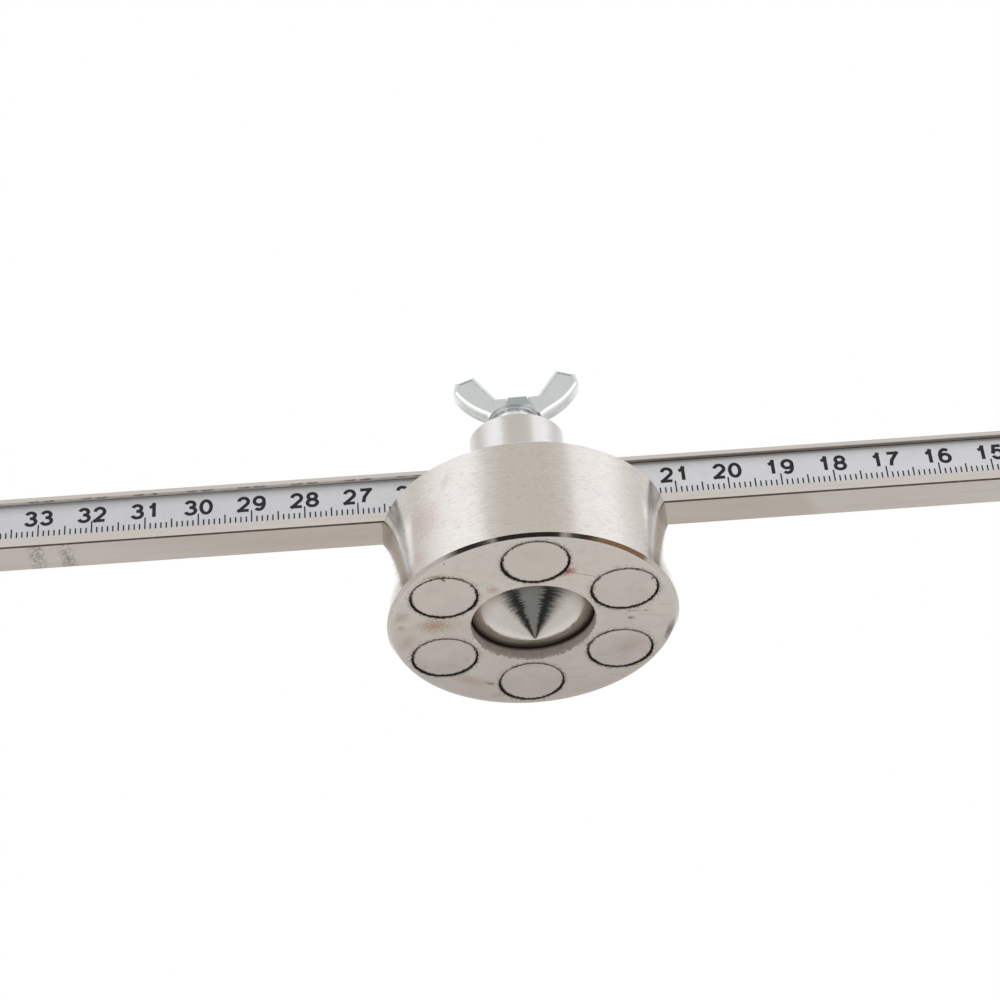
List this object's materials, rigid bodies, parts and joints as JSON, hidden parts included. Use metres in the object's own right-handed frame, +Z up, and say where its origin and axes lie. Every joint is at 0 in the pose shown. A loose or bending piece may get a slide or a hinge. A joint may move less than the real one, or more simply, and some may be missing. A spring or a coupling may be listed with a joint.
{
  "type": "plasma circle cutting guide",
  "caption": "Magnetic pivot base with a sprung centre point, a graduated rail locked by a wing screw, and a torch carriage on rollers, for cutting circles.",
  "frame": {"origin": "centre of the magnet face, on the spindle's axis", "axes": "+X along the rail towards the torch, +Z up along the spindle"},
  "size_m": [0.3993, 0.075, 0.0624],
  "materials": {
    "base_nickel": "turned and nickel plated, satin, warm grey",
    "magnet_nickel": "nickel plated magnet, scuffed",
    "point_steel": "turned bare steel, bright",
    "rail_nickel": "ground and nickel plated, satin",
    "scale_silver": "silver label with black numbers",
    "wing_zinc": "cast, polished and zinc plated",
    "screw_zinc": "zinc plated",
    "screw_black": "black oxide",
    "washer_steel": "ground steel",
    "spring_steel": "spring steel",
    "wheel_steel": "turned steel",
    "bronze": "turned bronze"
  },
  "bodies": {
    "base": {"base_body": "base_nickel", "magnet_1": "magnet_nickel", "magnet_2": "magnet_nickel", "magnet_3": "magnet_nickel", "magnet_4": "magnet_nickel", "magnet_5": "magnet_nickel", "magnet_6": "magnet_nickel", "pivot_bush": "bronze", "thrust_washer": "washer_steel"},
    "spindle": {"spindle": "base_nickel", "retaining_ring": "spring_steel", "lower_washer": "washer_steel", "point_pin": "spring_steel", "point_spring": "spring_steel"},
    "point": {"centre_point": "point_steel"},
    "rail": {"rail": "rail_nickel", "scale_tape": "scale_silver", "rail_stop_washer": "screw_zinc", "rail_stop_screw": "screw_zinc", "carriage_body": "rail_nickel", "rail_set_screws": "screw_black", "leg_screws": "screw_black", "leg_washers": "screw_zinc"},
    "clamp_pad": {"pressure_pad": "bronze"},
    "clamp_screw": {"wing_screw": "wing_zinc"},
    "torch_clamp_pad": {"torch_pad": "bronze"},
    "torch_clamp_screw": {"torch_screw": "wing_zinc"},
    "leg_front": {"leg_front": "rail_nickel", "axle_front": "screw_black", "spacer_front": "bronze", "axle_nut_front": "screw_zinc"},
    "wheel_front": {"wheel_front": "wheel_steel"},
    "leg_rear": {"leg_rear": "rail_nickel", "axle_rear": "screw_black", "spacer_rear": "bronze", "axle_nut_rear": "screw_zinc"},
    "wheel_rear": {"wheel_rear": "wheel_steel"}
  },
  "joints": [
    {"name": "swing", "type": "hinge", "parent": "base", "child": "spindle", "pos_m": [0, 0, 0], "axis": [0, 0, 1], "continuous": true},
    {"name": "point_retract", "type": "slide", "parent": "spindle", "child": "point", "axis": [0, 0, 1], "range_m": [0, 0.0035], "stiffness_N_per_m": 200, "springref_m": -0.008, "deforming": ["point_spring"]},
    {"name": "rail_slide", "type": "slide", "parent": "spindle", "child": "rail", "axis": [1, 0, 0], "range_m": [-0.194, 0.111]},
    {"name": "clamp_lift", "type": "slide", "parent": "spindle", "child": "clamp_pad", "axis": [0, 0, 1], "range_m": [0, 0.0025]},
    {"name": "clamp_turn", "type": "hinge", "parent": "clamp_pad", "child": "clamp_screw", "pos_m": [0, 0, 0.03505], "axis": [0, 0, 1], "range_deg": [0, 720.02]},
    {"name": "torch_clamp_travel", "type": "slide", "parent": "rail", "child": "torch_clamp_pad", "axis": [-1, 0, 0], "range_m": [0, 0.0024]},
    {"name": "torch_clamp_turn", "type": "hinge", "parent": "torch_clamp_pad", "child": "torch_clamp_screw", "pos_m": [0.2391, 0, 0.02993], "axis": [-1, 0, 0], "range_deg": [0, 1080.03]},
    {"name": "leg_front_height", "type": "slide", "parent": "rail", "child": "leg_front", "axis": [0, 0, 1], "range_m": [-0.003, 0.003]},
    {"name": "wheel_front_roll", "type": "hinge", "parent": "leg_front", "child": "wheel_front", "pos_m": [0.2402, -0.029, 0.0085], "axis": [1, 0, 0], "continuous": true},
    {"name": "leg_rear_height", "type": "slide", "parent": "rail", "child": "leg_rear", "axis": [0, 0, 1], "range_m": [-0.003, 0.003]},
    {"name": "wheel_rear_roll", "type": "hinge", "parent": "leg_rear", "child": "wheel_rear", "pos_m": [0.2402, 0.029, 0.0085], "axis": [1, 0, 0], "continuous": true}
  ],
  "couplings": [
    {"joint": "clamp_turn", "follows": "clamp_lift", "rad_per_m": 5026.5},
    {"joint": "torch_clamp_turn", "follows": "torch_clamp_travel", "rad_per_m": 7854}
  ]
}
